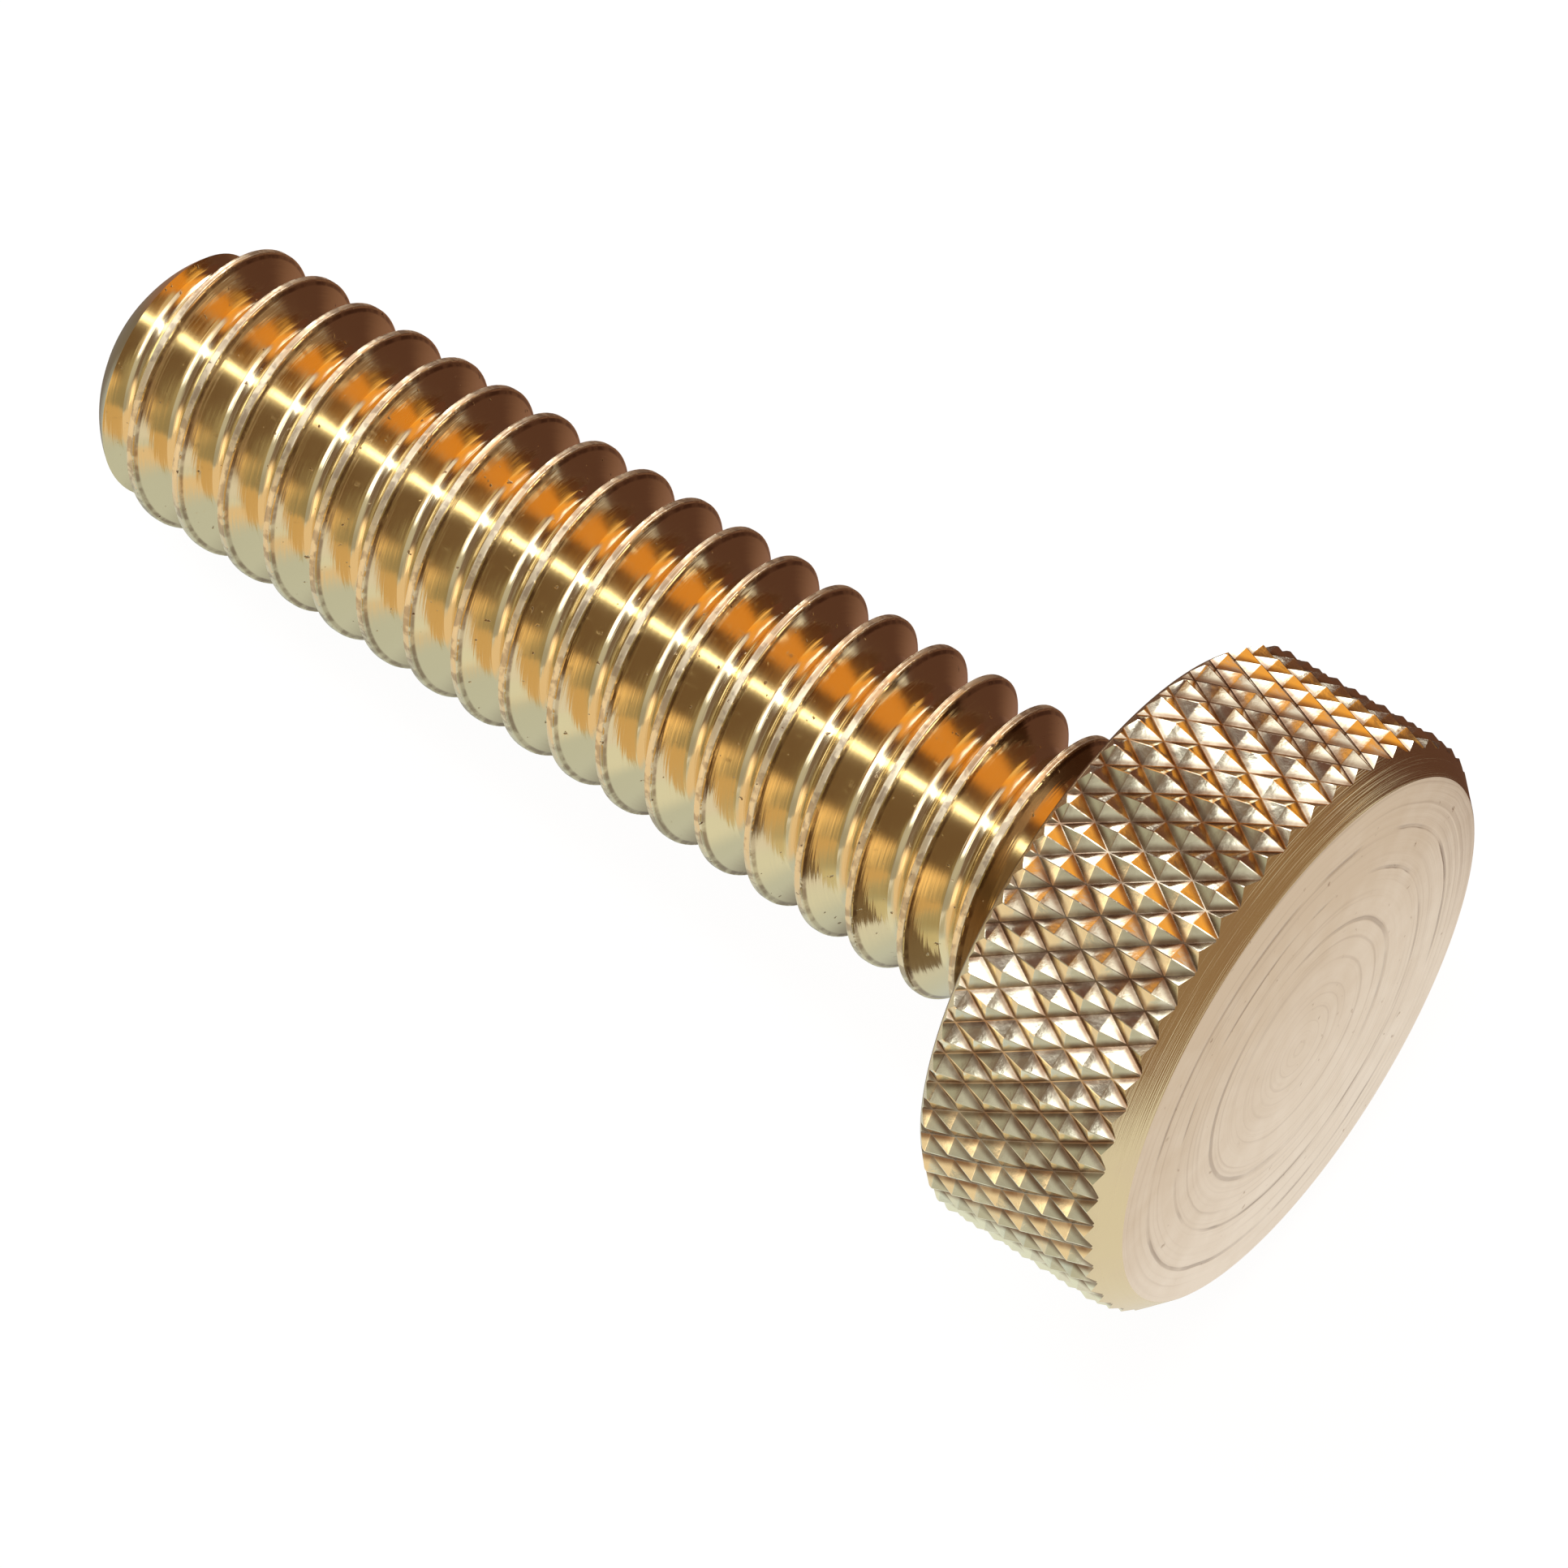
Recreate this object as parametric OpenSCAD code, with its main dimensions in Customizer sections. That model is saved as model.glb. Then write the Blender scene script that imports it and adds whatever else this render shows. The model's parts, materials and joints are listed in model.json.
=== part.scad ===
// Knurled thumb screw: one solid turned from brass bar.
// It lies at rest on the knurl's edge under the head and on the thread at the tip.

/* [Thread] */
// Outer diameter of the thread over its crests, mm
thread_diameter = 6.244; // [5.5:0.001:7.5]
// Distance from one crest to the next, mm
thread_pitch = 1.27; // [1:0.01:1.5]
// Length from the head's bearing face to the end of the tip, mm
shank_length = 25.2; // [15:0.1:40]
// Flat on the crest, as a share of the pitch
crest_share = 0.125; // [0.08:0.005:0.16]
// Flat at the root, as a share of the pitch
root_share = 0.25; // [0.2:0.005:0.3]
// Where a crest lies on the underside, measured from the bearing face, mm
crest_offset = 0.043; // [-0.6:0.001:0.6]
// Flats in one turn of the thread
thread_sides = 36; // [24:12:48]

/* [Tip] */
// Length of the rounded point, mm
tip_length = 1.45; // [0.8:0.05:2]
// Diameter of the small flat at the end of the point, mm
tip_flat = 3.5; // [2.4:0.1:4]
// Bulge of the point beyond a straight cone, mm
tip_bulge = 0.22; // [0.05:0.01:0.3]

/* [Head] */
// Diameter over the points of the knurl, mm
knurl_diameter = 12.77; // [11:0.01:16]
// Thickness of the head, mm
head_height = 4.536; // [3.5:0.001:8]
// Width of the smooth slope round the outer face, mm
face_chamfer = 0.596; // [0.5:0.002:0.8]
// Depth of the knurl's grooves, mm
knurl_depth = 0.2; // [0.15:0.01:0.3]
// Diamonds in one ring of the knurl
knurl_count = 54; // [36:2:64]
// Length of one diamond along the axis, mm
diamond_length = 1.11; // [0.9:0.01:1.4]

/* [Neck] */
// Diameter of the relief between thread and head, mm
neck_diameter = 4.5; // [4:0.05:4.6]
// Width of the relief, mm
neck_width = 0.3; // [0.2:0.05:1.2]

/* [View] */
// Part to show

/* [Hidden] */
$fn = 96;
BRASS = [0.80, 0.66, 0.38];

// Thread: a crest flat, two flanks and a root flat in each pitch
crest_r = thread_diameter / 2;
flank_share = (1 - crest_share - root_share) / 2;
root_r = crest_r - flank_share * thread_pitch / tan(30);
// The winding runs past both ends of the shank and is then cut back
overrun = 1.5 * thread_pitch;
first_turn = ceil((shank_length + overrun) / thread_pitch);
last_turn = ceil(overrun / thread_pitch) - 1;
turns = first_turn + last_turn;
stations = turns * thread_sides;
winding_start = crest_offset - first_turn * thread_pitch;
// Share of the pitch and radius at the four edges of the thread's section
edge_share = [-crest_share / 2, crest_share / 2, crest_share / 2 + flank_share,
              crest_share / 2 + flank_share + root_share];
edge_r = [crest_r, crest_r, root_r, root_r];
neck_r = min(neck_diameter / 2, root_r - 0.1);
clear = 1;

// Point: an arc between the end flat and the full thread
tip_r = tip_flat / 2;
tip_rise = crest_r - tip_r;
tip_chord = sqrt(tip_length * tip_length + tip_rise * tip_rise);
tip_steps = 2;
function tip_point(k) =
    let (t = k / tip_steps, b = 4 * tip_bulge * t * (1 - t))
    [tip_r + t * tip_rise + b * tip_length / tip_chord,
     -shank_length + t * tip_length - b * tip_rise / tip_chord];
tip_arc = [for (k = [0:tip_steps]) tip_point(k)];
// Radius that the point leaves at height z
function tip_radius(z) =
    z >= -shank_length + tip_length ? crest_r
    : lookup(z, [for (p = tip_arc) [p[1], p[0]]]);

// Knurl: rings of points and groove crossings, cut by a slope at both ends
tip_of_knurl = knurl_diameter / 2;
groove_r = tip_of_knurl - knurl_depth;
core_gap = 0.055;
core_r = groove_r - core_gap;
ledge = 0.03;
face_r = tip_of_knurl - face_chamfer;
columns = 2 * knurl_count;
step = 360 / columns;
bearing_slope_r = core_r - ledge / 3;
bearing_chamfer = tip_of_knurl - bearing_slope_r;
row_start = bearing_chamfer + 0.04;
row_end = head_height - face_chamfer - 0.3;
rows = round((row_end - row_start) / (diamond_length / 2)) + 1;
row_gap = (row_end - row_start) / (rows - 1);
rise = knurl_depth / row_gap;
inner_r = core_r - 1;
low_ledge = core_r + ledge - bearing_slope_r;
high_ledge = head_height - (core_r + ledge - face_r);

// Radius of the thread on the underside at height z, where one of its flats lies down
function thread_radius(z) =
    let (turn = (z - crest_offset) / thread_pitch, off = abs(turn - round(turn)) - crest_share / 2)
    (crest_r - min(max(off, 0), flank_share) * thread_pitch / tan(30)) * cos(180 / thread_sides);

// Rest: the floor touches two points of the first ring and the lowest spot of the thread at the tip
rest_r = tip_of_knurl * cos(step);
low_spots = [for (z = [-shank_length:0.002:-shank_length + tip_length + 2 * thread_pitch])
             [z, min(thread_radius(z), tip_radius(z))]];
lean = atan(min([for (p = low_spots) (rest_r - p[1]) / (row_start - p[0])]));
far_end = face_r * sin(lean) + head_height * cos(lean);
near_end = min([for (p = tip_arc) p[1] * cos(lean) - p[0] * sin(lean)]);
rest_shift = [-(far_end + near_end) / 2, 0, rest_r * cos(lean) - row_start * sin(lean)];

// One vertex of the winding: station i round the axis, edge b of the section
function winding_point(i, b) =
    let (turn = (i + 0.5) / thread_sides, a = 360 * turn)
    [edge_r[b] * cos(a), edge_r[b] * sin(a),
     winding_start + thread_pitch * (turn + edge_share[b])];

// Endless thread with a fan closing each end
module winding() {
    n = thread_sides;
    low = 4 * (stations + 1);
    high = low + 1;
    points = concat(
        [for (i = [0:stations], b = [0:3]) winding_point(i, b)],
        [[0, 0, winding_start]],
        [[0, 0, winding_start + thread_pitch * (turns + 0.5 / thread_sides + edge_share[3])]]
    );
    strips = [for (i = [0:stations - 1], b = [0:2], h = [0, 1])
              h == 0 ? [4 * i + b, 4 * i + b + 1, 4 * i + b + 5]
                     : [4 * i + b, 4 * i + b + 5, 4 * i + b + 4]];
    seams = [for (i = [0:stations - 1 - n], h = [0, 1])
             h == 0 ? [4 * i + 3, 4 * (i + n), 4 * (i + n + 1)]
                    : [4 * i + 3, 4 * (i + n + 1), 4 * i + 7]];
    low_fan = concat(
        [for (i = [0:n - 1]) [4 * i, 4 * i + 4, low]],
        [for (b = [0:2]) [b + 1, b, low]],
        [[4 * n, 3, low]]
    );
    high_fan = concat(
        [for (i = [stations - n:stations - 1]) [4 * i + 7, 4 * i + 3, high]],
        [for (b = [0:2]) [4 * stations + b, 4 * stations + b + 1, high]],
        [[4 * (stations - n) + 3, 4 * stations, high]]
    );
    polyhedron(points = points, faces = concat(strips, seams, low_fan, high_fan), convexity = 10);
}

// What turning takes away to leave the rounded point
module tip_waste() {
    outer = crest_r + clear;
    below = winding_start - 2 * thread_pitch;
    // The last slope runs on outwards past the crests
    last = tip_arc[tip_steps];
    before = tip_arc[tip_steps - 1];
    run_on = last[1] + (outer - last[0]) * (last[1] - before[1]) / (last[0] - before[0]);
    rotate_extrude()
        polygon(concat(
            [[0, below], [outer, below], [outer, run_on]],
            [for (k = [tip_steps - 1:-1:0]) tip_arc[k]],
            [[0, -shank_length]]
        ));
}

// What turning takes away to leave the relief under the head
module neck_waste() {
    rotate_extrude()
        polygon([[neck_r, -neck_width], [crest_r + clear, -neck_width - (crest_r + clear - neck_r)],
                 [crest_r + clear, 6 * thread_pitch], [neck_r, 6 * thread_pitch]]);
}

// Threaded shank with its point and the neck that runs into the head
module shank() {
    difference() {
        winding();
        tip_waste();
        neck_waste();
    }
}

// Plain middle of the head with the flat face and the inner part of its slope
module head_core() {
    rotate_extrude()
        polygon([[0, 0], [core_r, 0], [core_r, head_height - (core_r - face_r)],
                 [face_r, head_height], [0, head_height]]);
}

// A vertex of a knurl ring: column c, radius r, height z
function ring_point(c, r, z) = [r * cos(c * step), r * sin(c * step), z];

// Point or groove crossing in turn along each ring and from ring to ring
function is_point(k, c) = (k + c) % 2 == 0;

// Height at which the slope at the bearing side cuts column c
function low_cut(c) =
    is_point(1, c)
    ? (tip_of_knurl - bearing_slope_r - rise * row_start) / (1 - rise)
    : (groove_r - bearing_slope_r + rise * row_start) / (1 + rise);

// Height at which the slope at the outer face cuts column c
function high_cut(c) =
    is_point(rows, c)
    ? (face_r + head_height - tip_of_knurl - rise * row_end) / (1 - rise)
    : (face_r + head_height - groove_r + rise * row_end) / (1 + rise);

// Ring of diamonds round the core
module knurl() {
    low_ring = [for (c = [0:columns - 1]) ring_point(c, core_r + ledge, low_ledge)];
    low_edge = [for (c = [0:columns - 1]) ring_point(c, bearing_slope_r + low_cut(c), low_cut(c))];
    body = [for (k = [1:rows], c = [0:columns - 1])
            ring_point(c, is_point(k, c) ? tip_of_knurl : groove_r, row_start + (k - 1) * row_gap)];
    high_edge = [for (c = [0:columns - 1])
                 ring_point(c, face_r + head_height - high_cut(c), high_cut(c))];
    high_ring = [for (c = [0:columns - 1]) ring_point(c, core_r + ledge, high_ledge)];
    inner_high = [for (c = [0:columns - 1]) ring_point(c, inner_r, high_ledge)];
    inner_low = [for (c = [0:columns - 1]) ring_point(c, inner_r, low_ledge)];
    points = concat(low_ring, low_edge, body, high_edge, high_ring, inner_high, inner_low);
    rings = rows + 6;
    // Each cell is split along its groove
    faces = [for (k = [0:rings - 1], c = [0:columns - 1], h = [0, 1])
             let (p = k * columns + c,
                  q = k * columns + (c + 1) % columns,
                  s = ((k + 1) % rings) * columns + c,
                  t = ((k + 1) % rings) * columns + (c + 1) % columns)
             is_point(k - 1, c)
             ? (h == 0 ? [p, s, q] : [s, t, q])
             : (h == 0 ? [p, s, t] : [p, t, q])];
    polyhedron(points = points, faces = faces, convexity = 4);
}

// The whole screw, head up along the axis, before it is laid down
module upright() {
    shank();
    head_core();
    knurl();
}

// The screw as it lies on a table
module thumb_screw() {
    color(BRASS)
        translate(rest_shift)
            rotate([0, 90 - lean, 0])
                upright();
}

thumb_screw();
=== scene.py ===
"""Brass thumb screw: smooth thread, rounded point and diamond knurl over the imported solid.

It lies on a plain pale floor, in a warm room that only the metal mirrors.
"""

import json
import math

import bpy
from mathutils import Euler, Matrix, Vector


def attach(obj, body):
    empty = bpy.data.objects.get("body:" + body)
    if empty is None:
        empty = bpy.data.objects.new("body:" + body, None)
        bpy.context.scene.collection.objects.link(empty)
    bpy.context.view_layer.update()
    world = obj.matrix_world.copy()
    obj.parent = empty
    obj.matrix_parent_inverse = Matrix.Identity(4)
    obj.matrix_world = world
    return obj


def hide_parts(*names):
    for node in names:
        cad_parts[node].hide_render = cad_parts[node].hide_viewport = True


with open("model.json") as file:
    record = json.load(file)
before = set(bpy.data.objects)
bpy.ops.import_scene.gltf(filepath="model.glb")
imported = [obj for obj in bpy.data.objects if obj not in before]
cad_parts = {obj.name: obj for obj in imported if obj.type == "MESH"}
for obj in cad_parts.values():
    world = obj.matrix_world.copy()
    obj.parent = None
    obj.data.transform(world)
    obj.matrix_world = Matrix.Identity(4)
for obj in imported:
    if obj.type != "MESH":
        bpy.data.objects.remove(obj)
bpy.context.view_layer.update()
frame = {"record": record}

bl_info = {
    "name": "Thumb Screw",
    "version": (1, 0, 0),
    "blender": (4, 2, 0),
    "location": "View3D > Sidebar > Thumb Screw",
    "description": "Builds a knurled brass thumb screw and the floor it lies on",
    "category": "Add Mesh",
}

MM = 0.001
MOUNTS = {m["name"]: m for m in frame["record"]["mounts"]}
SEAT = Vector(MOUNTS["thread"]["pos_m"])
AXIS = Vector(MOUNTS["head_face"]["axis"])
HEAD_HEIGHT = (Vector(MOUNTS["head_face"]["pos_m"]) - SEAT).length
# Turns the upright screw, head up, into the way it lies
LYING = Euler((0.0, math.atan2(AXIS.x, AXIS.z), 0.0))

# The screw is modelled upright in millimetres, and these sizes are in millimetres too.
# Rounded edges of the thread's section: distance along the axis from the middle of the crest,
# with the depth under the crest, and then with the height over the root
CREST_EDGE = ((0.055, 0.0), (0.072, 0.006), (0.081, 0.019))
ROOT_EDGE = ((0.417, 0.105), (0.47, 0.042), (0.54, 0.01))
# Rounded corner at the bottom of the neck: along the axis and outwards
NECK_CORNER = (0.1, 0.04)
# Broken edge round the face: outwards from the rim and down from the face
RIM_EDGE = ((0.03, 0.03), (-0.004, 0.006), (-0.05, 0.0))
# Width of the knurl's softened edges
KNURL_EDGE = 0.012
# How far waste and outline reach past the metal of the shank and of the head
SHANK_CLEAR = 1.0
HEAD_CLEAR = 0.4
# Vertices closer than this are one, in general and along the winding's seam
WELD = 0.0002
SEAM_WELD = 0.0005
# Faces in one turn of the shank and of the head's outline
SHANK_STEPS = 96
HEAD_STEPS = 192
# Edges that bend more are softened on the knurl, and edges that bend less are shaded smooth, in degrees
SOFTEN_ANGLE = 25
SMOOTH_ANGLE = 24
# Rings that the tool left on the face: radius, width and strength
FACE_RINGS = ((2.9, 0.07, 0.8), (4.02, 0.05, 1.0), (4.9, 0.06, 0.9))
# How fast the tool's lines change along the axis
LINE_DRIFT = 0.35

# Side of the floor in metres
FLOOR_SIZE = 2.0
# Camera of the photograph: place in metres, direction, lens and sensor in millimetres
CAMERA_PLACE = (0.03507479, -0.04259639, 0.10670774)
CAMERA_WAY = (-0.28364212, 0.36339715, -0.88740614)
CAMERA_LENS = 131.4765
CAMERA_SENSOR = 36.0
CAMERA_NEAR = 5 * MM


def length(name, description, default):
    """A size in metres, shown in the scene's unit."""
    return bpy.props.FloatProperty(
        name=name, description=description, default=default, min=0.0, unit="LENGTH", precision=6
    )


def colour(name, description, default):
    """A linear colour."""
    return bpy.props.FloatVectorProperty(
        name=name, description=description, default=default, min=0.0, max=1.0, size=3, subtype="COLOR"
    )


def share(name, description, default):
    """A number between nought and one."""
    return bpy.props.FloatProperty(
        name=name, description=description, default=default, min=0.0, max=1.0, subtype="FACTOR"
    )


def strength(name, description, default):
    """How strong a light is."""
    return bpy.props.FloatProperty(name=name, description=description, default=default, min=0.0)


class ThumbScrewSizes(bpy.types.PropertyGroup):
    """Sizes of the screw."""

    pitch: length("Pitch", "Distance from one crest to the next", 1.27 * MM)
    crest_diameter: length("Crest diameter", "Diameter over the thread's crests", 6.22 * MM)
    root_diameter: length("Root diameter", "Diameter at the bottom of the thread", 4.83 * MM)
    crest_offset: length("Crest offset", "First crest on the underside, from the bearing face", 0.043 * MM)
    shank_length: length("Shank length", "From the bearing face to the end of the point", 25.2 * MM)
    tip_length: length("Point length", "Length of the rounded point", 1.45 * MM)
    tip_flat: length("Point flat", "Diameter of the flat at the end", 3.5 * MM)
    tip_bulge: length("Point bulge", "Bulge of the point beyond a cone", 0.22 * MM)
    neck_diameter: length("Neck diameter", "Diameter of the relief under the head", 4.5 * MM)
    neck_width: length("Neck width", "Width of the relief under the head", 0.3 * MM)
    head_diameter: length("Head diameter", "Diameter over the points of the knurl", 12.77 * MM)
    head_height: length("Head height", "Thickness of the head", HEAD_HEIGHT)
    face_slope: length("Face slope", "Width of the smooth slope round the face", 0.596 * MM)
    bearing_slope: length("Bearing slope", "Width of the slope round the bearing face", 0.265 * MM)
    knurl_depth: length("Knurl depth", "Depth of the grooves", 0.2 * MM)
    knurl_start: length("First ring", "Height of the first ring of points", 0.305 * MM)
    knurl_gap: length("Ring gap", "Height from one ring to the next", 0.5558333 * MM)
    knurl_count: bpy.props.IntProperty(
        name="Diamonds", description="Diamonds in one ring of the knurl", default=54, min=12
    )


class ThumbScrewLooks(bpy.types.PropertyGroup):
    """Colours and finish of the brass."""

    brass: colour("Brass", "Clean turned brass", (0.80, 0.68, 0.43))
    worn: colour("Worn", "Brass rubbed bright on the edges", (0.90, 0.82, 0.62))
    pale: colour("Pale", "Pressed brass of the knurl", (0.85, 0.82, 0.64))
    dull: colour("Dull", "Brass gone dull on the flat face", (0.75, 0.60, 0.44))
    # Paler brass for the lower half of the flat face
    pale_half: colour("Handled", "Brass of the flat face gone pale by handling", (0.98, 0.87, 0.74))
    # Besides old oil in pits and tool marks, this colour is painted shade in the knurl's grooves, under
    # the thread's crests and on the bearing face
    grime_and_shade: colour("Grime", "Old oil in pits and grooves", (0.20, 0.11, 0.06))
    thread_roughness: share("Thread roughness", "How dull the thread is", 0.11)
    knurl_roughness: share("Knurl roughness", "How dull the knurl is", 0.1)
    slope_roughness: share("Slope roughness", "How dull the slope round the face is", 0.2)
    face_roughness: share("Face roughness", "How dull the flat face is", 0.38)


class ThumbScrewStage(bpy.types.PropertyGroup):
    """Floor, light and what stands round the screw."""

    floor: colour("Floor", "Pale floor", (0.88, 0.88, 0.87))
    floor_light: strength("Floor light", "Strength of the white that the camera sees", 1.08)
    shadow: share("Shadow", "How much of the shadow the camera sees", 0.12)
    mirrored: share("Mirrored", "How much of the painted floor the metal mirrors", 0.98)
    room: colour("Room", "Dim warm room", (0.13, 0.05, 0.03))
    wall: colour("Wall", "Pale wall on the near side", (0.86, 0.65, 0.42))
    lamp: colour("Lamp", "Warm lamp on the far side", (1.0, 0.40, 0.04))
    window: colour("Window", "Bright window past the point", (0.98, 0.99, 1.0))
    window_light: strength("Window light", "Strength of the window", 5.0)
    panel_light: strength("Panel light", "Strength of the pale panels", 3.0)
    lamp_light: strength("Lamp light", "Strength of the lamp", 1.15)
    wall_light: strength("Wall light", "Strength of the wall", 2.1)


class Wire:
    """One output of a shader node. Arithmetic on it adds Math nodes."""

    def __init__(self, tree, socket=None):
        self.tree = tree
        self.socket = socket

    def make(self, kind, settings=None, sockets=None, out=0):
        """Adds a node of a kind, sets it, then fills its sockets with values or wires."""
        node = self.tree.nodes.new(kind)
        for key, value in (settings or {}).items():
            setattr(node, key, value)
        for key, value in (sockets or {}).items():
            if isinstance(value, Wire):
                self.tree.links.new(value.socket, node.inputs[key])
            else:
                node.inputs[key].default_value = value
        return Wire(self.tree, node.outputs[out] if len(node.outputs) else None)

    def sum(self, operation, *terms):
        """A Math node on wires or numbers."""
        return self.make("ShaderNodeMath", {"operation": operation}, dict(enumerate(terms)))

    def __add__(self, other):
        return self.sum("ADD", self, other)

    def __radd__(self, other):
        return self.sum("ADD", other, self)

    def __sub__(self, other):
        return self.sum("SUBTRACT", self, other)

    def __rsub__(self, other):
        return self.sum("SUBTRACT", other, self)

    def __mul__(self, other):
        return self.sum("MULTIPLY", self, other)

    def __rmul__(self, other):
        return self.sum("MULTIPLY", other, self)

    def __truediv__(self, other):
        return self.sum("DIVIDE", self, other)

    def __rtruediv__(self, other):
        return self.sum("DIVIDE", other, self)

    def __pow__(self, other):
        return self.sum("POWER", self, other)

    def __abs__(self):
        return self.sum("ABSOLUTE", self)

    def ramp(self, low, high, to_low=0.0, to_high=1.0):
        """Smooth step of this value from low..high to to_low..to_high."""
        return self.make(
            "ShaderNodeMapRange",
            {"interpolation_type": "SMOOTHSTEP"},
            {0: self, 1: low, 2: high, 3: to_low, 4: to_high},
        )

    def fall(self, low, high):
        """Smooth step from one at low down to nought at high."""
        return self.ramp(low, high, 1.0, 0.0)

    def between(self, start, full, last, end):
        """One from full to last, and nought before start and past end."""
        return self.ramp(start, full) * self.fall(last, end)

    def split(self):
        """The x, y and z of a vector."""
        node = self.make("ShaderNodeSeparateXYZ", None, {0: self}).socket.node
        return [Wire(self.tree, part) for part in node.outputs]


def deselect():
    """Object mode with nothing selected."""
    if bpy.context.object and bpy.context.object.mode != "OBJECT":
        bpy.ops.object.mode_set(mode="OBJECT")
    bpy.ops.object.select_all(action="DESELECT")


def draw_chain(name, points):
    """A chain of edges through points (radius, height), drawn by extruding one vertex.

    The piece is left in edit mode.
    """
    deselect()
    bpy.ops.mesh.primitive_plane_add(size=1.0)
    piece = bpy.context.object
    piece.name = name
    bpy.ops.object.mode_set(mode="EDIT")
    bpy.ops.mesh.select_mode(type="VERT")
    bpy.ops.mesh.select_all(action="SELECT")
    bpy.ops.mesh.merge(type="CENTER")
    bpy.ops.transform.translate(value=(points[0][0], 0.0, points[0][1]))
    for a, b in zip(points, points[1:]):
        bpy.ops.mesh.extrude_vertices_move(
            TRANSFORM_OT_translate={"value": (b[0] - a[0], 0.0, b[1] - a[1])}
        )
    return piece


def weld():
    """Merges doubles of the edited mesh, turns its normals outwards and leaves edit mode."""
    bpy.ops.mesh.select_all(action="SELECT")
    bpy.ops.mesh.remove_doubles(threshold=WELD)
    bpy.ops.mesh.select_all(action="SELECT")
    bpy.ops.mesh.normals_make_consistent(inside=False)
    bpy.ops.object.mode_set(mode="OBJECT")


def close_ends():
    """Closes each open end of the edited mesh with a fan and welds it."""
    bpy.ops.mesh.select_all(action="DESELECT")
    bpy.ops.mesh.select_non_manifold(
        extend=False, use_wire=False, use_boundary=True, use_multi_face=False,
        use_non_contiguous=False, use_verts=False,
    )
    bpy.ops.mesh.extrude_edges_move(TRANSFORM_OT_translate={"value": (0.0, 0.0, 0.0)})
    bpy.ops.mesh.merge(type="COLLAPSE")
    weld()


def turned(name, points, steps):
    """A closed solid turned from a chain of points."""
    piece = draw_chain(name, points)
    bpy.ops.mesh.select_all(action="SELECT")
    bpy.ops.mesh.spin(steps=steps, angle=math.tau, center=(0.0, 0.0, 0.0), axis=(0.0, 0.0, 1.0))
    weld()
    return piece


def combine(piece, tool, operation):
    """Cuts, keeps or joins piece with tool and takes the tool away."""
    deselect()
    piece.select_set(True)
    bpy.context.view_layer.objects.active = piece
    change = piece.modifiers.new(operation.title(), "BOOLEAN")
    change.operation = operation
    change.solver = "EXACT"
    change.object = tool
    bpy.ops.object.modifier_apply(modifier=change.name)
    bpy.data.objects.remove(tool)


def curve(a, b, c, steps):
    """Points of a soft bend that leaves a towards b and comes to c."""
    bend = []
    for k in range(steps + 1):
        t = k / steps
        bend.append(tuple(a.lerp(b, t).lerp(b.lerp(c, t), t)))
    return bend


def build_winding(s, start, turns):
    """Endless thread wound from its section and closed at both ends."""
    pitch, crest, root = s.pitch / MM, s.crest_diameter / MM / 2, s.root_diameter / MM / 2
    # Half a section, from the middle of a crest to the middle of the root
    half = [(z, crest - deep) for z, deep in CREST_EDGE]
    half += [(z, root + rise) for z, rise in ROOT_EDGE]
    half.append((pitch / 2, root))
    section = [(r, start + z) for z, r in half]
    section += [(r, start + pitch - z) for z, r in reversed(half[:-1])]
    section.append((crest, start + pitch + half[0][0]))
    winding = draw_chain("screw", section)
    bpy.ops.object.mode_set(mode="OBJECT")
    wind = winding.modifiers.new("Winding", "SCREW")
    wind.axis = "Z"
    wind.angle = math.tau
    wind.screw_offset = pitch
    wind.steps = wind.render_steps = SHANK_STEPS
    wind.iterations = turns
    bpy.ops.object.modifier_apply(modifier=wind.name)
    bpy.ops.object.mode_set(mode="EDIT")
    bpy.ops.mesh.select_all(action="SELECT")
    bpy.ops.mesh.remove_doubles(threshold=SEAM_WELD)
    close_ends()
    return winding


def tip_waste(s, outer, below):
    """What turning takes away to leave the point: two slopes that run into each other in a curve."""
    crest, low = s.crest_diameter / MM / 2, -s.shank_length / MM
    # The upper slope ends a little outside the crests
    spare = 0.012
    # The bend at the flat starts this far inside it and takes this share of the lower slope
    flat_reach, flat_share = 0.2, 0.16
    # The bend between the slopes takes this share of both
    slope_share = 0.6
    flat_steps, slope_steps = 4, 10
    end = Vector((s.tip_flat / MM / 2, low))
    full = Vector((crest + spare, low + s.tip_length / MM))
    along = full - end
    middle = (end + full) / 2 + Vector((along.y, -along.x)).normalized() * s.tip_bulge / MM
    arc = [(0.0, low)]
    arc += curve(end - Vector((flat_reach, 0.0)), end, end.lerp(middle, flat_share), flat_steps)
    arc += curve(middle.lerp(end, slope_share), middle, middle.lerp(full, slope_share), slope_steps)
    arc += [tuple(full), tuple(middle.lerp(full, (outer - middle.x) / (full.x - middle.x)))]
    return turned("tip_waste", arc + [(outer, below), (0.0, below)], SHANK_STEPS)


def neck_waste(s, outer, above):
    """What turning takes away to leave the relief under the head."""
    neck, low = s.neck_diameter / MM / 2, -s.neck_width / MM
    up, out = NECK_CORNER
    ring = [
        (neck, above), (neck, low + up), (neck + out, low), (outer, low - (outer - neck)),
        (outer, above), (neck, above),
    ]
    return turned("neck_waste", ring, SHANK_STEPS)


def build_shank(s):
    """Threaded shank with its point and its neck."""
    pitch, outer = s.pitch / MM, s.crest_diameter / MM / 2 + SHANK_CLEAR
    # The winding runs past both ends and is then cut back
    overrun = 1.5 * pitch
    first = math.ceil((s.shank_length / MM + overrun) / pitch)
    turns = first + math.ceil(overrun / pitch) - 1
    start = s.crest_offset / MM - first * pitch
    shank = build_winding(s, start, turns)
    combine(shank, tip_waste(s, outer, start - 2 * pitch), "DIFFERENCE")
    combine(shank, neck_waste(s, outer, 3 * pitch), "DIFFERENCE")
    return shank


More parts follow.
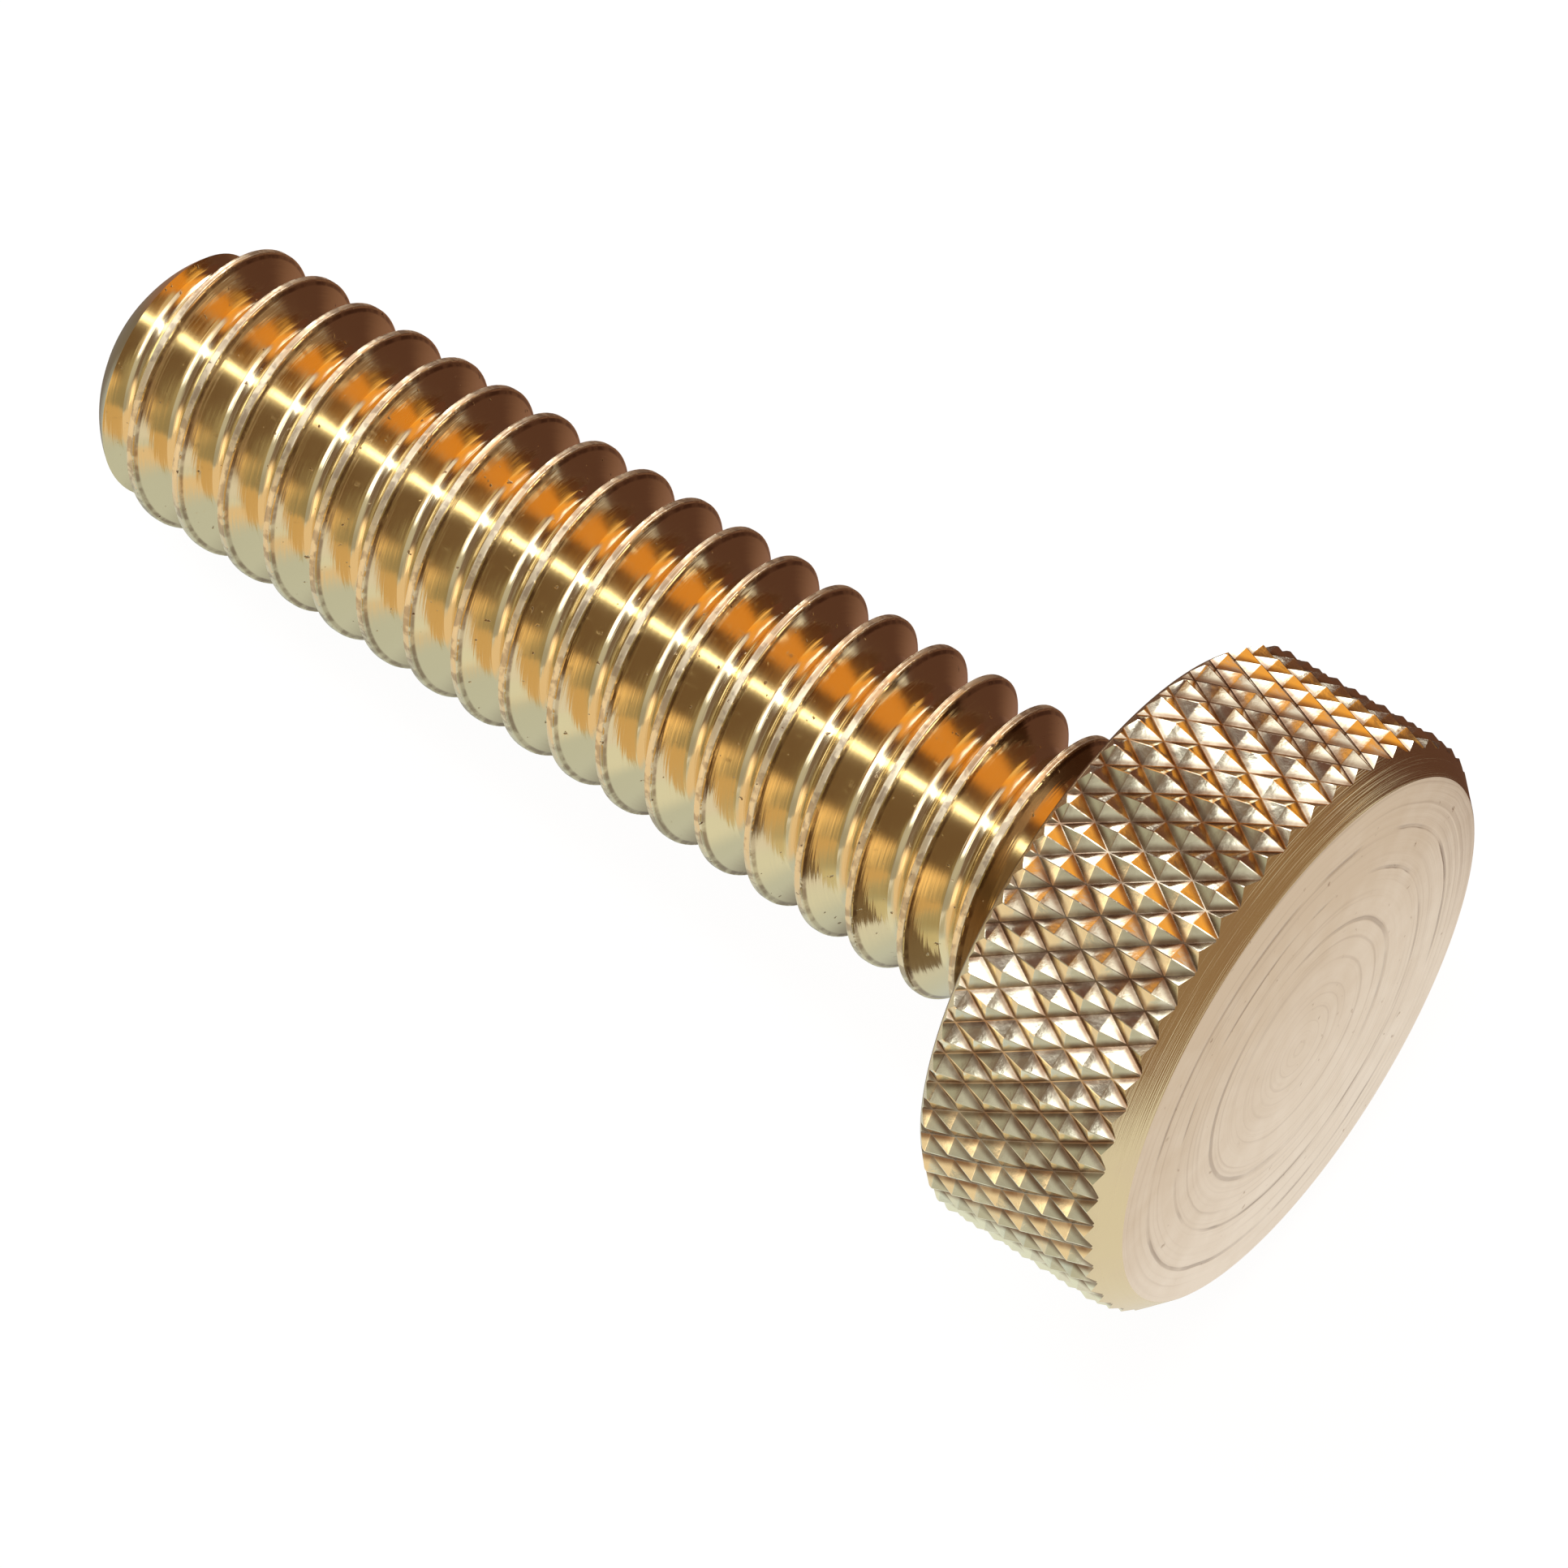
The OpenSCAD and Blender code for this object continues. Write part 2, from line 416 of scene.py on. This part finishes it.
def build_knurl(s):
    """Band of diamonds that runs past both ends of the head, with softened edges."""
    columns, gap, low = 2 * s.knurl_count, s.knurl_gap / MM, s.knurl_start / MM
    outer = s.head_diameter / MM / 2
    inner = outer - s.knurl_depth / MM
    above = math.ceil((s.head_height / MM - low) / gap) + 1
    deselect()
    bpy.ops.mesh.primitive_circle_add(vertices=columns, radius=inner, location=(0.0, 0.0, low - 2 * gap))
    band = bpy.context.object
    band.name = "knurl"
    bpy.ops.object.transform_apply(location=True)
    bpy.ops.object.mode_set(mode="EDIT")
    bpy.ops.mesh.select_mode(type="VERT")
    bpy.ops.mesh.select_all(action="SELECT")
    for _ in range(above + 2):
        bpy.ops.mesh.extrude_edges_move(TRANSFORM_OT_translate={"value": (0.0, 0.0, gap)})
    # Points stand out between the grooves, in turn along each ring and from ring to ring
    bpy.ops.mesh.select_all(action="DESELECT")
    bpy.ops.object.mode_set(mode="OBJECT")
    for v in band.data.vertices:
        ring = round((v.co.z - low) / gap) + 1
        column = round(math.atan2(v.co.y, v.co.x) / math.tau * columns)
        v.select = (ring + column) % 2 == 0
    bpy.ops.object.mode_set(mode="EDIT")
    grow = outer / inner
    bpy.ops.transform.resize(value=(grow, grow, 1.0), center_override=(0.0, 0.0, 0.0))
    # Each cell is split along its groove
    bpy.ops.mesh.select_all(action="SELECT")
    bpy.ops.mesh.quads_convert_to_tris(quad_method="SHORTEST_DIAGONAL")
    close_ends()
    soften = band.modifiers.new("Soften", "BEVEL")
    soften.width = KNURL_EDGE
    soften.limit_method = "ANGLE"
    soften.angle_limit = math.radians(SOFTEN_ANGLE)
    soften.use_clamp_overlap = True
    bpy.ops.object.modifier_apply(modifier=soften.name)
    return band


def build_head(s):
    """Knurled band kept within the turned outline of the head."""
    outer, height = s.head_diameter / MM / 2, s.head_height / MM
    band = build_knurl(s)
    lip = outer - s.bearing_slope / MM
    rim = outer - s.face_slope / MM
    reach = outer + HEAD_CLEAR
    outline = [(0.0, 0.0), (lip, 0.0), (reach, reach - lip), (reach, height - (reach - rim))]
    outline += [(rim + out, height - down) for out, down in RIM_EDGE]
    outline.append((0.0, height))
    combine(band, turned("outline", outline, HEAD_STEPS), "INTERSECT")
    return band


def blank(owner):
    """Clears the nodes of a material or a world, ready for new ones."""
    owner.use_nodes = True
    owner.node_tree.nodes.clear()
    return Wire(owner.node_tree)


def screw_space(w):
    """The place on the upright screw in millimetres, as wires: whole, as x, y and z, and its radius."""
    place = w.make("ShaderNodeTexCoord", out="Object")
    place = w.make(
        "ShaderNodeMapping",
        {"vector_type": "TEXTURE"},
        {"Vector": place, "Location": SEAT, "Rotation": LYING, "Scale": (MM,) * 3},
    )
    x, y, z = place.split()
    return place, x, y, z, (x * x + y * y) ** 0.5


def noise(place, scale, detail=3.0, depth=None):
    """Soft noise of a place, between nought and one."""
    settings = {"noise_dimensions": "3D" if depth is None else "4D"}
    sockets = {"Vector": place, "Scale": scale, "Detail": detail}
    if depth is not None:
        sockets["W"] = depth
    return place.make("ShaderNodeTexNoise", settings, sockets)


def mixed(amount, first, second):
    """A colour between two colours."""
    ends = [v if isinstance(v, Wire) else (*v, 1.0) for v in (first, second)]
    return amount.make("ShaderNodeMix", {"data_type": "RGBA"}, {0: amount, 6: ends[0], 7: ends[1]}, out=2)


def tool_lines(x, y, z, r, across, scale):
    """Lines left by the tool: they change fast across the cut and slowly round the axis."""
    ring = x.make("ShaderNodeCombineXYZ", None, {0: x / r, 1: y / r, 2: z * LINE_DRIFT})
    return noise(ring, scale, 1.0, depth=across)


def metal(name, depth, paint):
    """A metal whose colour, roughness and height come from paint. The height is depth millimetres deep."""
    material = bpy.data.materials.new(name)
    w = blank(material)
    tint, rough, height = paint(w)
    bump = w.make("ShaderNodeBump", None, {"Strength": 1.0, "Distance": depth * MM, "Height": height})
    surface = w.make(
        "ShaderNodeBsdfPrincipled",
        None,
        {"Base Color": tint, "Metallic": 1.0, "Roughness": rough, "Normal": bump},
    )
    w.make("ShaderNodeOutputMaterial", None, {"Surface": surface})
    return material


def thread_metal(k, s):
    """Turned thread: fine lines along the helix, burred bright crests, painted shade under each crest, a
    few dark pits.
    """
    pitch, offset = s.pitch / MM, s.crest_offset / MM
    outer, end = s.crest_diameter / MM / 2, -s.shank_length / MM

    def paint(w):
        place, x, y, z, r = screw_space(w)
        turn = (z - offset) / pitch - w.sum("ARCTAN2", y, x) / math.tau
        # Distance along the axis from the middle of the nearest crest
        off = (w.sum("FRACT", turn + 0.5) - 0.5) * pitch
        side = abs(off)
        # The tool's lines follow the helix, and on the end of the point they are rings
        wound = z.ramp(end + 0.05, end + 0.4)
        cut = off * wound + r * (1.0 - wound)
        lines = tool_lines(x, y, z, r, cut * 14.0, 2.2)
        fine = tool_lines(x, y, z, r, cut * 40.0, 3.0)
        patch = noise(place, 0.7)
        broken = noise(place, 3.4)
        # Crests that the point has cut off have no burr
        whole = r.ramp(outer - 0.3, outer - 0.15)
        crest = side.fall(0.06, 0.1) * whole
        burr = abs(side - 0.07).fall(0.004, 0.03) * broken.ramp(0.38, 0.56) * whole
        # Painted shade: a dark band on the flank just under each crest, on the head's side
        under = abs(off - 0.115).fall(0.01, 0.035) * whole
        pits = noise(place, 5.5).ramp(0.70, 0.75)
        tint = mixed(crest * 0.9, k.brass, k.worn)
        tint = mixed(crest * broken.ramp(0.45, 0.6) * 0.45, tint, k.grime_and_shade)
        # Painted shade under the crests, and dark pits
        tint = mixed(under * (broken.ramp(0.35, 0.6) * 0.45 + 0.3) + pits * 0.8, tint, k.grime_and_shade)
        rough = k.thread_roughness + patch.ramp(0.4, 0.7) * 0.05 + pits * 0.3 + crest * 0.28
        height = lines * 0.6 + fine * 0.15 + burr * 1.6 + crest * broken * 0.5 - pits * 1.2
        return tint, rough, height

    return metal("thread", 0.006, paint)


def knurl_metal(k, s):
    """Pressed knurl: bright facets, painted shade down in the grooves, rubbed on the points."""
    outer = s.head_diameter / MM / 2

    def paint(w):
        place, _, _, _, r = screw_space(w)
        deep = r.fall(outer - 0.18, outer - 0.10)
        patch = noise(place, 1.6)
        grain = noise(place, 7.0)
        # Painted shade: the grooves darken towards their bottoms, a little unevenly
        tint = mixed(deep * (patch.ramp(0.35, 0.6) * 0.3 + 0.62), k.pale, k.grime_and_shade)
        tint = mixed(r.ramp(outer - 0.05, outer) * 0.7, tint, k.worn)
        rough = k.knurl_roughness + grain * 0.06 + deep * 0.12
        return tint, rough, grain * 0.6 + patch

    return metal("knurl", 0.006, paint)


def slope_metal(k):
    """Slope, edges and bearing face: fine lines round the axis."""

    def paint(w):
        place, x, y, z, r = screw_space(w)
        lines = tool_lines(x, y, z, r, r * 40.0, 1.8)
        patch = noise(place, 0.9)
        tint = mixed(patch.ramp(0.45, 0.75) * 0.25, k.brass, k.dull)
        # Painted shade: the bearing face under the head is darkened
        tint = mixed(z.fall(0.01, 0.05) * 0.85, tint, k.grime_and_shade)
        rough = k.slope_roughness + lines * 0.1
        return tint, rough, lines

    return metal("slope", 0.008, paint)


def face_metal(k):
    """Flat face: dull, with broken rings left by the tool and small pits."""

    def paint(w):
        place, x, y, _, _ = screw_space(w)
        patch = noise(place, 0.45)
        # The rings lie a little off the middle and waver
        off = ((x - 0.1) ** 2.0 + (y + 0.12) ** 2.0) ** 0.5 + (patch - 0.5) * 0.16
        swirl = w.make("ShaderNodeCombineXYZ", None, {0: off * 9.0, 1: x * 0.12, 2: y * 0.12})
        lines = noise(swirl, 1.0)
        rings = 0.0
        for radius, wide, strong in FACE_RINGS:
            rings = rings + abs(off - radius).ramp(wide * 0.4, wide, strong, 0.0)
        rings = rings * patch.ramp(0.36, 0.62)
        pits = noise(place, 4.0, 4.0).ramp(0.68, 0.77)
        # The lower half is painted paler
        blotch = noise(place, 1.7, 4.0)
        paler = x.ramp(-7.0, 7.0, -0.1, 1.05) + (patch + blotch - 1.0) * 0.55
        tint = mixed(paler, k.dull, k.pale_half)
        tint = mixed(rings * 0.48 + lines.ramp(0.5, 0.8) * 0.22, tint, k.grime_and_shade)
        tint = mixed(pits * 0.3, tint, k.grime_and_shade)
        rough = k.face_roughness + (lines - 0.5) * 0.15 + pits * 0.2
        return tint, rough, lines * 0.7 - rings * 0.8 - pits * 0.5

    return metal("face", 0.015, paint)


def dress(screw, k, s):
    """Gives each part of the upright screw its metal, by the place and normal of its faces."""
    thread, knurl, slope, face = range(4)
    for made in (thread_metal(k, s), knurl_metal(k, s), slope_metal(k), face_metal(k)):
        screw.data.materials.append(made)
    # Places that part the thread, the flat face and the knurl
    under_head = -0.01
    near_face = s.head_height / MM - 0.02
    knurled = s.head_diameter / MM / 2 - 0.6
    # How far a face looks along the axis: the flat face, other level ones and, at most, the knurl
    flat, level, upright = 0.98, 0.9, 0.6
    # A slope looks as far along the axis as away from it, within this
    spread = 0.3
    for p in screw.data.polygons:
        c, n = p.center, p.normal
        r = math.hypot(c.x, c.y)
        up = abs(n.z)
        out = abs(c.x * n.x + c.y * n.y) / r if r > 1e-6 else 0.0
        if c.z < under_head:
            p.material_index = thread
        elif n.z > flat and c.z > near_face:
            p.material_index = face
        elif up < upright and r > knurled:
            p.material_index = knurl
        elif up > level or abs(up - out) < spread:
            p.material_index = slope
        else:
            p.material_index = knurl


class THUMBSCREW_OT_build_screw(bpy.types.Operator):
    """Model the screw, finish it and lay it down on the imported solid's place"""

    bl_idname = "thumbscrew.build_screw"
    bl_label = "Build Screw"

    def execute(self, context):
        s = context.scene.thumb_screw_sizes
        screw = build_shank(s)
        combine(screw, build_head(s), "UNION")
        bpy.ops.object.mode_set(mode="EDIT")
        weld()
        dress(screw, context.scene.thumb_screw_looks, s)
        bpy.ops.object.shade_smooth_by_angle(angle=math.radians(SMOOTH_ANGLE))
        screw.scale = (MM,) * 3
        screw.rotation_euler = LYING
        screw.location = SEAT
        bpy.ops.object.transform_apply(location=True, rotation=True, scale=True)
        if not screw.data.polygons:
            raise RuntimeError("the screw came out empty")
        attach(screw, "root")
        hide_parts("thumb_screw")
        return {"FINISHED"}


def lit(tint, light):
    """A colour times the strength of its light."""
    return [c * light for c in tint]


def toward(azimuth, elevation):
    """Unit vector to a place round the screw, angles in degrees."""
    a, e = math.radians(azimuth), math.radians(elevation)
    return (math.cos(a) * math.cos(e), math.sin(a) * math.cos(e), math.sin(e))


def painted_floor(w, k):
    """What the metal sees of the floor: pale near by and dim far behind."""
    x, y, _ = w.make("ShaderNodeTexCoord", out="Object").split()
    x, y = x / MM, y / MM
    # Near the shank it is pale and cool, in front of the face it is warm and bright
    cool, warm = (0.64, 0.70, 0.69), (0.88, 0.85, 0.80)
    seen = mixed(x.ramp(8.0, 15.0), cool, warm)
    # A painted pool of light on the floor, on the near side of the head
    beside = ((x - 9.0) ** 2.0 + (y + 9.0) ** 2.0) ** 0.5
    seen = mixed(beside.fall(3.0, 6.0), seen, (0.86, 0.88, 0.80))
    # Farther out on the near side it takes the wall's tan, and beside the head it is greyer
    seen = mixed(y.fall(-9.0, -5.5) * x.fall(2.0, 8.0), seen, lit(k.wall, 1.1))
    seen = mixed(y.fall(-20.0, -12.0) * x.between(5.0, 9.0, 13.0, 18.0), seen, (0.56, 0.53, 0.43))
    # Close under the shank it lies in shadow
    seen = mixed(y.ramp(-3.6, -1.0) * x.fall(6.0, 9.0), seen, (0.20, 0.17, 0.14))
    # Behind the screw it lies in the dim room's shade, in front of the face it doesn't
    behind = (y - w.sum("MAXIMUM", x - 11.0, 0.0) * 1.1).ramp(1.0, 4.5)
    dim = mixed(y.ramp(4.0, 13.0), (0.30, 0.15, 0.095), lit(k.room, 0.8))
    return mixed(behind, seen, dim)


def make_floor(k):
    """White to the camera with a soft trace of the shadow, and painted to the metal."""
    deselect()
    bpy.ops.mesh.primitive_plane_add(size=FLOOR_SIZE)
    floor = bpy.context.object
    floor.name = "floor"
    material = bpy.data.materials.new("floor")
    w = blank(material)
    camera = w.make("ShaderNodeLightPath", out="Is Camera Ray")
    glossy = w.make("ShaderNodeLightPath", out="Is Glossy Ray")
    plain = w.make("ShaderNodeBsdfDiffuse", None, {"Color": (*k.floor, 1.0)})
    painted = w.make("ShaderNodeEmission", None, {"Color": painted_floor(w, k)})
    white = w.make("ShaderNodeEmission", None, {"Color": (1.0, 1.0, 1.0, 1.0), "Strength": k.floor_light})
    soft = w.make("ShaderNodeMixShader", None, {0: k.shadow, 1: white, 2: plain})
    body = w.make("ShaderNodeMixShader", None, {0: glossy * k.mirrored, 1: plain, 2: painted})
    body = w.make("ShaderNodeMixShader", None, {0: camera, 1: body, 2: soft})
    w.make("ShaderNodeOutputMaterial", None, {"Surface": body})
    floor.data.materials.append(material)


def make_surroundings(k):
    """A dim warm room with a pale wall, a lamp and a tall window; the camera sees white."""
    world = bpy.data.worlds.new("surroundings")
    bpy.context.scene.world = world
    w = blank(world)
    way = w.make("ShaderNodeTexCoord", out="Generated")

    def along(azimuth, elevation):
        """How far the way of sight runs towards a place."""
        sockets = {0: way, 1: toward(azimuth, elevation)}
        return w.make("ShaderNodeVectorMath", {"operation": "DOT_PRODUCT"}, sockets, out=1)

    def spot(azimuth, elevation, inner, outer):
        """A round patch, full within the inner angle and gone past the outer one, in degrees."""
        near, far = math.cos(math.radians(inner)), math.cos(math.radians(outer))
        return along(azimuth, elevation).ramp(far, near)

    up, across = along(0.0, 90.0), along(90.0, 0.0)
    lamp = lit(k.lamp, k.lamp_light)
    amber = (lamp[0] * 0.88, lamp[1] * 0.95, lamp[2] * 1.8)
    straw = (lamp[0] * 0.9, lamp[1] * 1.3, lamp[2] * 4.0)
    window = lit(k.window, k.window_light)
    low_panel = across.between(0.1, 0.22, 0.64, 0.75) * along(180.0, 0.0).ramp(0.0, 0.2)
    low_panel = low_panel * up.between(0.0, 0.07, 0.45, 0.56)
    high_panel = abs(along(7.0, 0.0)).fall(0.09, 0.2) * up.ramp(0.77, 0.86)
    high_panel = high_panel * along(97.0, 0.0).ramp(0.1, 0.4, 1.0, 0.3)
    # The tall window is a narrow strip with a halo on both sides
    aside = abs(along(95.0, 0.0))
    tall = along(-175.0, 0.0).ramp(-0.25, 0.1) * up.ramp(0.36, 0.5)

    # Each light lies over the ones before it
    lights = (
        # The room past the head, its ceiling and its dark corner
        (spot(0.0, 15.0, 20.0, 70.0), (0.34, 0.22, 0.13)),
        (up.ramp(0.80, 0.97), (0.46, 0.24, 0.08)),
        (spot(-125.0, 48.0, 15.0, 45.0), (0.22, 0.15, 0.11)),
        # The pale wall
        (spot(-111.0, 1.0, 12.0, 28.0), lit(k.wall, k.wall_light)),
        # The lamp in its shade and its glow on both sides
        (spot(95.0, 44.0, 14.0, 28.0) * up.between(0.48, 0.60, 0.74, 0.84), lamp),
        (spot(125.0, 35.0, 14.0, 26.0), amber),
        (spot(78.0, 27.0, 9.0, 18.0), straw),
        # Grey patches on the near side and a brown one past the point
        (spot(-152.0, 13.0, 12.0, 26.0), (0.44, 0.41, 0.31)),
        (spot(-84.0, 10.0, 10.0, 30.0), (0.45, 0.42, 0.35)),
        (spot(-82.0, 40.0, 10.0, 26.0), (0.60, 0.57, 0.49)),
        (spot(176.0, 12.0, 12.0, 26.0), (0.40, 0.22, 0.10)),
        # The panels, with a small window in the low one
        (low_panel, lit(k.window, k.panel_light * 0.8)),
        (spot(138.0, 9.0, 9.0, 16.0), window),
        (high_panel, lit(k.window, k.panel_light)),
        # The tall window's halo and the window
        (aside.ramp(0.05, 0.24, 0.4, 0.0) * tall, k.window),
        (aside.fall(0.025, 0.085) * tall, window),
        (w.make("ShaderNodeLightPath", out="Is Camera Ray"), (1.0, 1.0, 1.0)),
    )
    light = k.room
    for amount, tint in lights:
        light = mixed(amount, light, tint)
    shine = w.make("ShaderNodeBackground", None, {"Color": light})
    w.make("ShaderNodeOutputWorld", None, {"Surface": shine})


class THUMBSCREW_OT_build_stage(bpy.types.Operator):
    """Set the floor, the light and the camera"""

    bl_idname = "thumbscrew.build_stage"
    bl_label = "Build Stage"

    def execute(self, context):
        k = context.scene.thumb_screw_stage
        make_floor(k)
        make_surroundings(k)
        deselect()
        bpy.ops.object.camera_add(location=CAMERA_PLACE)
        camera = context.object
        camera.data.sensor_width = CAMERA_SENSOR
        camera.data.lens = CAMERA_LENS
        camera.data.clip_start = CAMERA_NEAR
        camera.rotation_euler = Vector(CAMERA_WAY).to_track_quat("-Z", "Y").to_euler()
        context.scene.camera = camera
        context.scene.view_settings.view_transform = "Standard"
        return {"FINISHED"}


class THUMBSCREW_PT_panel(bpy.types.Panel):
    """Sizes, looks and the two builders"""

    bl_label = "Thumb Screw"
    bl_idname = "THUMBSCREW_PT_panel"
    bl_space_type = "VIEW_3D"
    bl_region_type = "UI"
    bl_category = "Thumb Screw"

    def draw(self, context):
        scene = context.scene
        for group in (scene.thumb_screw_sizes, scene.thumb_screw_looks, scene.thumb_screw_stage):
            box = self.layout.box()
            for key in group.__annotations__:
                box.prop(group, key)
        self.layout.operator("thumbscrew.build_screw")
        self.layout.operator("thumbscrew.build_stage")


CLASSES = (
    ThumbScrewSizes,
    ThumbScrewLooks,
    ThumbScrewStage,
    THUMBSCREW_OT_build_screw,
    THUMBSCREW_OT_build_stage,
    THUMBSCREW_PT_panel,
)


def register():
    for cls in CLASSES:
        bpy.utils.register_class(cls)
    bpy.types.Scene.thumb_screw_sizes = bpy.props.PointerProperty(type=ThumbScrewSizes)
    bpy.types.Scene.thumb_screw_looks = bpy.props.PointerProperty(type=ThumbScrewLooks)
    bpy.types.Scene.thumb_screw_stage = bpy.props.PointerProperty(type=ThumbScrewStage)


def unregister():
    del bpy.types.Scene.thumb_screw_stage
    del bpy.types.Scene.thumb_screw_looks
    del bpy.types.Scene.thumb_screw_sizes
    for cls in reversed(CLASSES):
        bpy.utils.unregister_class(cls)


def main():
    register()
    bpy.ops.thumbscrew.build_screw()
    bpy.ops.thumbscrew.build_stage()


if __name__ == "__main__":
    main()
